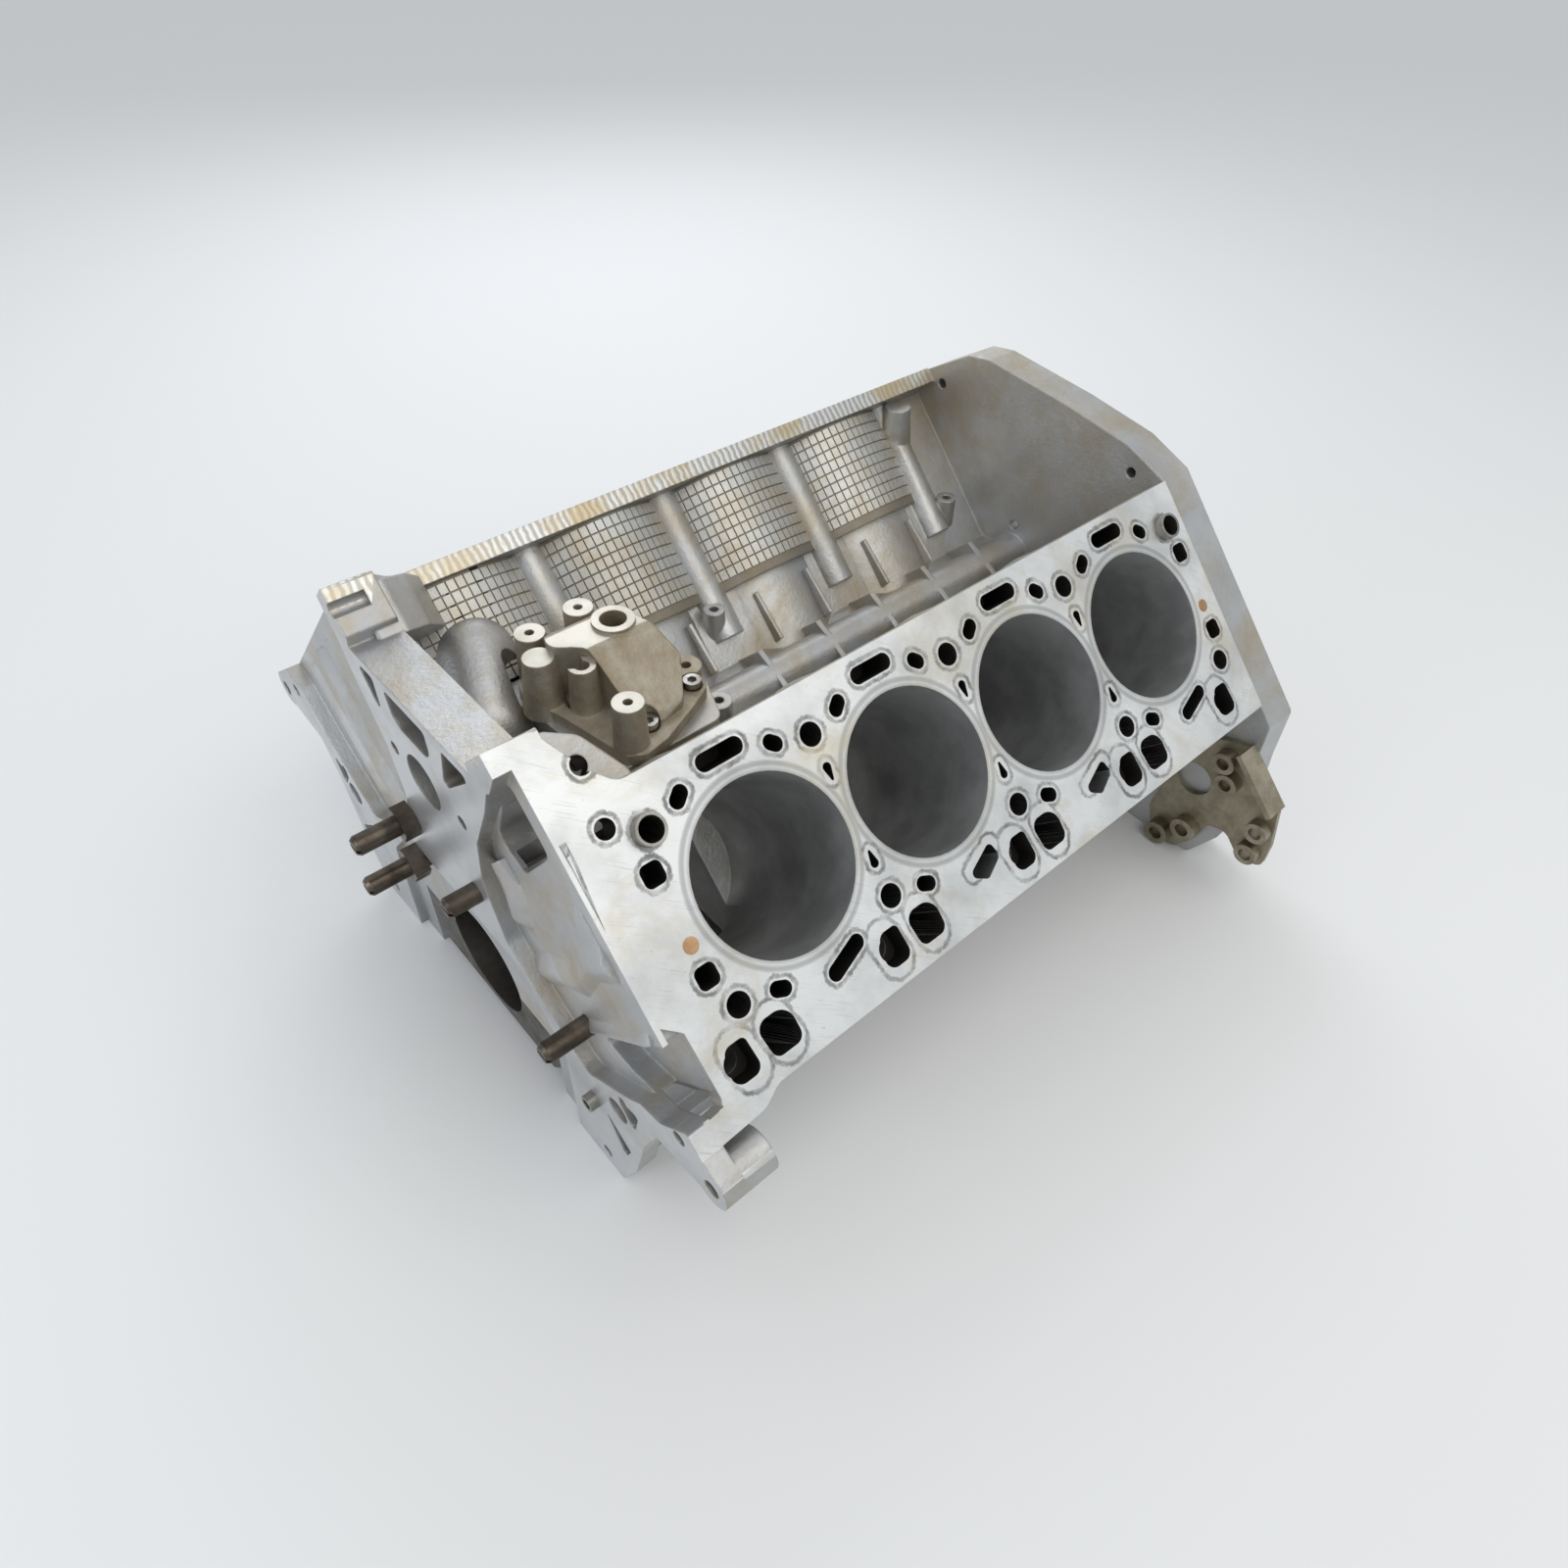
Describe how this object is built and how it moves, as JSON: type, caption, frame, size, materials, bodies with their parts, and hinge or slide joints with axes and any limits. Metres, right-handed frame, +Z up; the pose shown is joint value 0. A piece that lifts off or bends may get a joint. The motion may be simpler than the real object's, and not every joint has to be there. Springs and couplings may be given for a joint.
{
  "type": "engine block",
  "caption": "Bare V engine block with open cylinders, machined decks, chain case front, flywheel flange and main bearing caps.",
  "frame": {"origin": "where the crankshaft axis meets the machined front cover face", "axes": "+X along the crankshaft to the flywheel end, +Z up between the banks, +Y towards the bank that is set forward"},
  "size_m": [0.53, 0.491, 0.2843],
  "materials": {
    "block_aluminium": "cast, with milled faces",
    "housing_aluminium": "rough sand cast",
    "screw_steel": "satin",
    "cap_iron": "machined",
    "bolt_steel": "phosphated",
    "pin_steel": "dark satin",
    "sleeve_steel": "ground",
    "plug_brass": "dull",
    "cup_steel": "zinc plated",
    "bracket_steel": "olive passivated",
    "bracket_fastener_steel": "olive passivated"
  },
  "bodies": {
    "root": {"block_casting": "block_aluminium", "valley_housing": "housing_aluminium", "housing_screws": "screw_steel", "main_bearing_cap_1": "cap_iron", "main_bearing_cap_2": "cap_iron", "main_bearing_cap_3": "cap_iron", "main_bearing_cap_4": "cap_iron", "main_bearing_cap_5": "cap_iron", "main_cap_bolts": "bolt_steel", "main_cap_side_bolts": "bolt_steel", "upper_guide_pin": "pin_steel", "lower_guide_pin": "pin_steel", "upper_collar_pin": "pin_steel", "lower_collar_pin": "pin_steel", "near_deck_sleeves": "sleeve_steel", "far_deck_sleeves": "sleeve_steel", "cover_dowel_sleeves": "sleeve_steel", "bell_housing_dowels": "sleeve_steel", "near_deck_plugs": "plug_brass", "far_deck_plugs": "plug_brass", "core_plugs": "cup_steel", "oil_gallery_plugs": "cup_steel", "rear_bracket_plate": "bracket_steel", "bracket_bolts": "bracket_fastener_steel", "bracket_nuts": "bracket_fastener_steel"}
  },
  "joints": []
}
